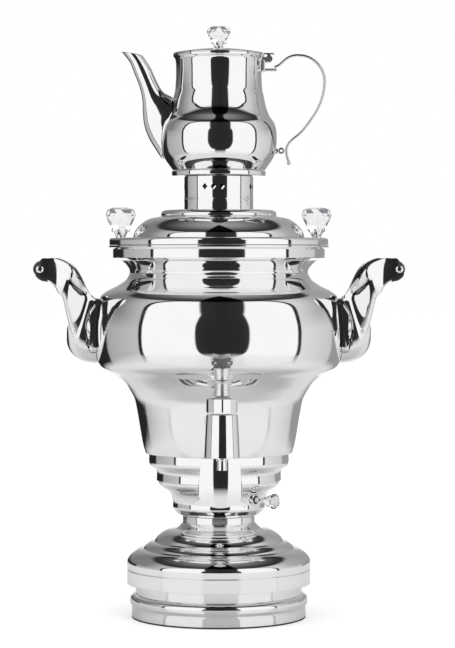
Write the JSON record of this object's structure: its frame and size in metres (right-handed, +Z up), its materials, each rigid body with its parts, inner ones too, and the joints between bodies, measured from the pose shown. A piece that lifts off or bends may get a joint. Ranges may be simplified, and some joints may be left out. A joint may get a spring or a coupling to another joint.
{
  "type": "samovar",
  "caption": "Polished steel electric samovar with a front tap, winged side handles, crystal lid knobs and a teapot on a perforated chimney.",
  "frame": {"origin": "middle of the floor plan, on the surface that the samovar stands on", "axes": "+Z up, front with the tap towards -Y, teapot spout towards -X, teapot handle towards +X"},
  "size_m": [0.3494, 0.264, 0.5597],
  "materials": {
    "polished_steel": "mirror polished stainless steel",
    "dull_steel": "plain rolled steel",
    "crystal": "cut clear acrylic crystal",
    "black_plastic": "moulded heat-resistant plastic",
    "rubber": "moulded rubber",
    "element_sheath": "heat-darkened sheath",
    "brass": "machined brass"
  },
  "bodies": {
    "base": {"foot_gasket": "rubber", "foot_ring": "polished_steel", "base_plate": "dull_steel", "base_shell": "polished_steel", "control_bowl": "polished_steel", "vessel_collar": "polished_steel", "drip_guard": "polished_steel", "tie_rod": "dull_steel", "tie_nut": "dull_steel", "heating_element": "element_sheath", "vessel": "polished_steel", "rim_band": "polished_steel", "tap_body": "polished_steel", "tap_rosette": "polished_steel", "tap_washer": "rubber", "tap_nut": "brass", "tap_nozzle": "polished_steel", "tap_bonnet": "polished_steel", "control_bushing": "black_plastic", "thermostat": "black_plastic", "inlet_socket": "black_plastic", "inlet_pin_left": "brass", "inlet_pin_earth": "brass", "inlet_pin_right": "brass", "right_pad": "polished_steel", "right_wing_front": "polished_steel", "right_wing_rear": "polished_steel", "right_cup": "polished_steel", "right_grip": "black_plastic", "right_screw_front": "polished_steel", "right_screw_rear": "polished_steel", "left_pad": "polished_steel", "left_wing_front": "polished_steel", "left_wing_rear": "polished_steel", "left_cup": "polished_steel", "left_grip": "black_plastic", "left_screw_front": "polished_steel", "left_screw_rear": "polished_steel"},
    "lid": {"lid": "polished_steel", "lid_knob_left_ferrule": "polished_steel", "lid_knob_left_crystal": "crystal", "lid_knob_right_ferrule": "polished_steel", "lid_knob_right_crystal": "crystal", "chimney": "polished_steel", "stand_ring": "polished_steel"},
    "teapot": {"teapot_body": "polished_steel", "teapot_spout": "polished_steel", "teapot_handle": "polished_steel", "handle_socket": "polished_steel", "hinge_pin": "dull_steel", "handle_eye": "polished_steel"},
    "teapot_lid": {"teapot_lid": "polished_steel", "teapot_knob_ferrule": "polished_steel", "teapot_knob_crystal": "crystal"},
    "tap_key": {"tap_plug": "brass", "tap_key": "polished_steel"},
    "control_knob": {"control_spindle": "polished_steel", "control_crystal": "crystal"}
  },
  "joints": [
    {"name": "lid_lift", "type": "slide", "parent": "base", "child": "lid", "axis": [0, 0, 1], "range_m": [0, 0.06]},
    {"name": "teapot_lift", "type": "slide", "parent": "lid", "child": "teapot", "axis": [0, 0, 1], "range_m": [0, 0.06]},
    {"name": "teapot_lid_hinge", "type": "hinge", "parent": "teapot", "child": "teapot_lid", "pos_m": [0.0474, 0.01345, 0.5286], "axis": [0, 1, 0], "range_deg": [0, 95]},
    {"name": "tap_turn", "type": "hinge", "parent": "base", "child": "tap_key", "pos_m": [0, -0.11585, 0.1904], "axis": [0, 0, 1], "range_deg": [0, 90]},
    {"name": "control_turn", "type": "hinge", "parent": "base", "child": "control_knob", "pos_m": [0, 0.01345, 0.114], "axis": [0.7193, -0.6947, 0], "range_deg": [0, 270]}
  ]
}
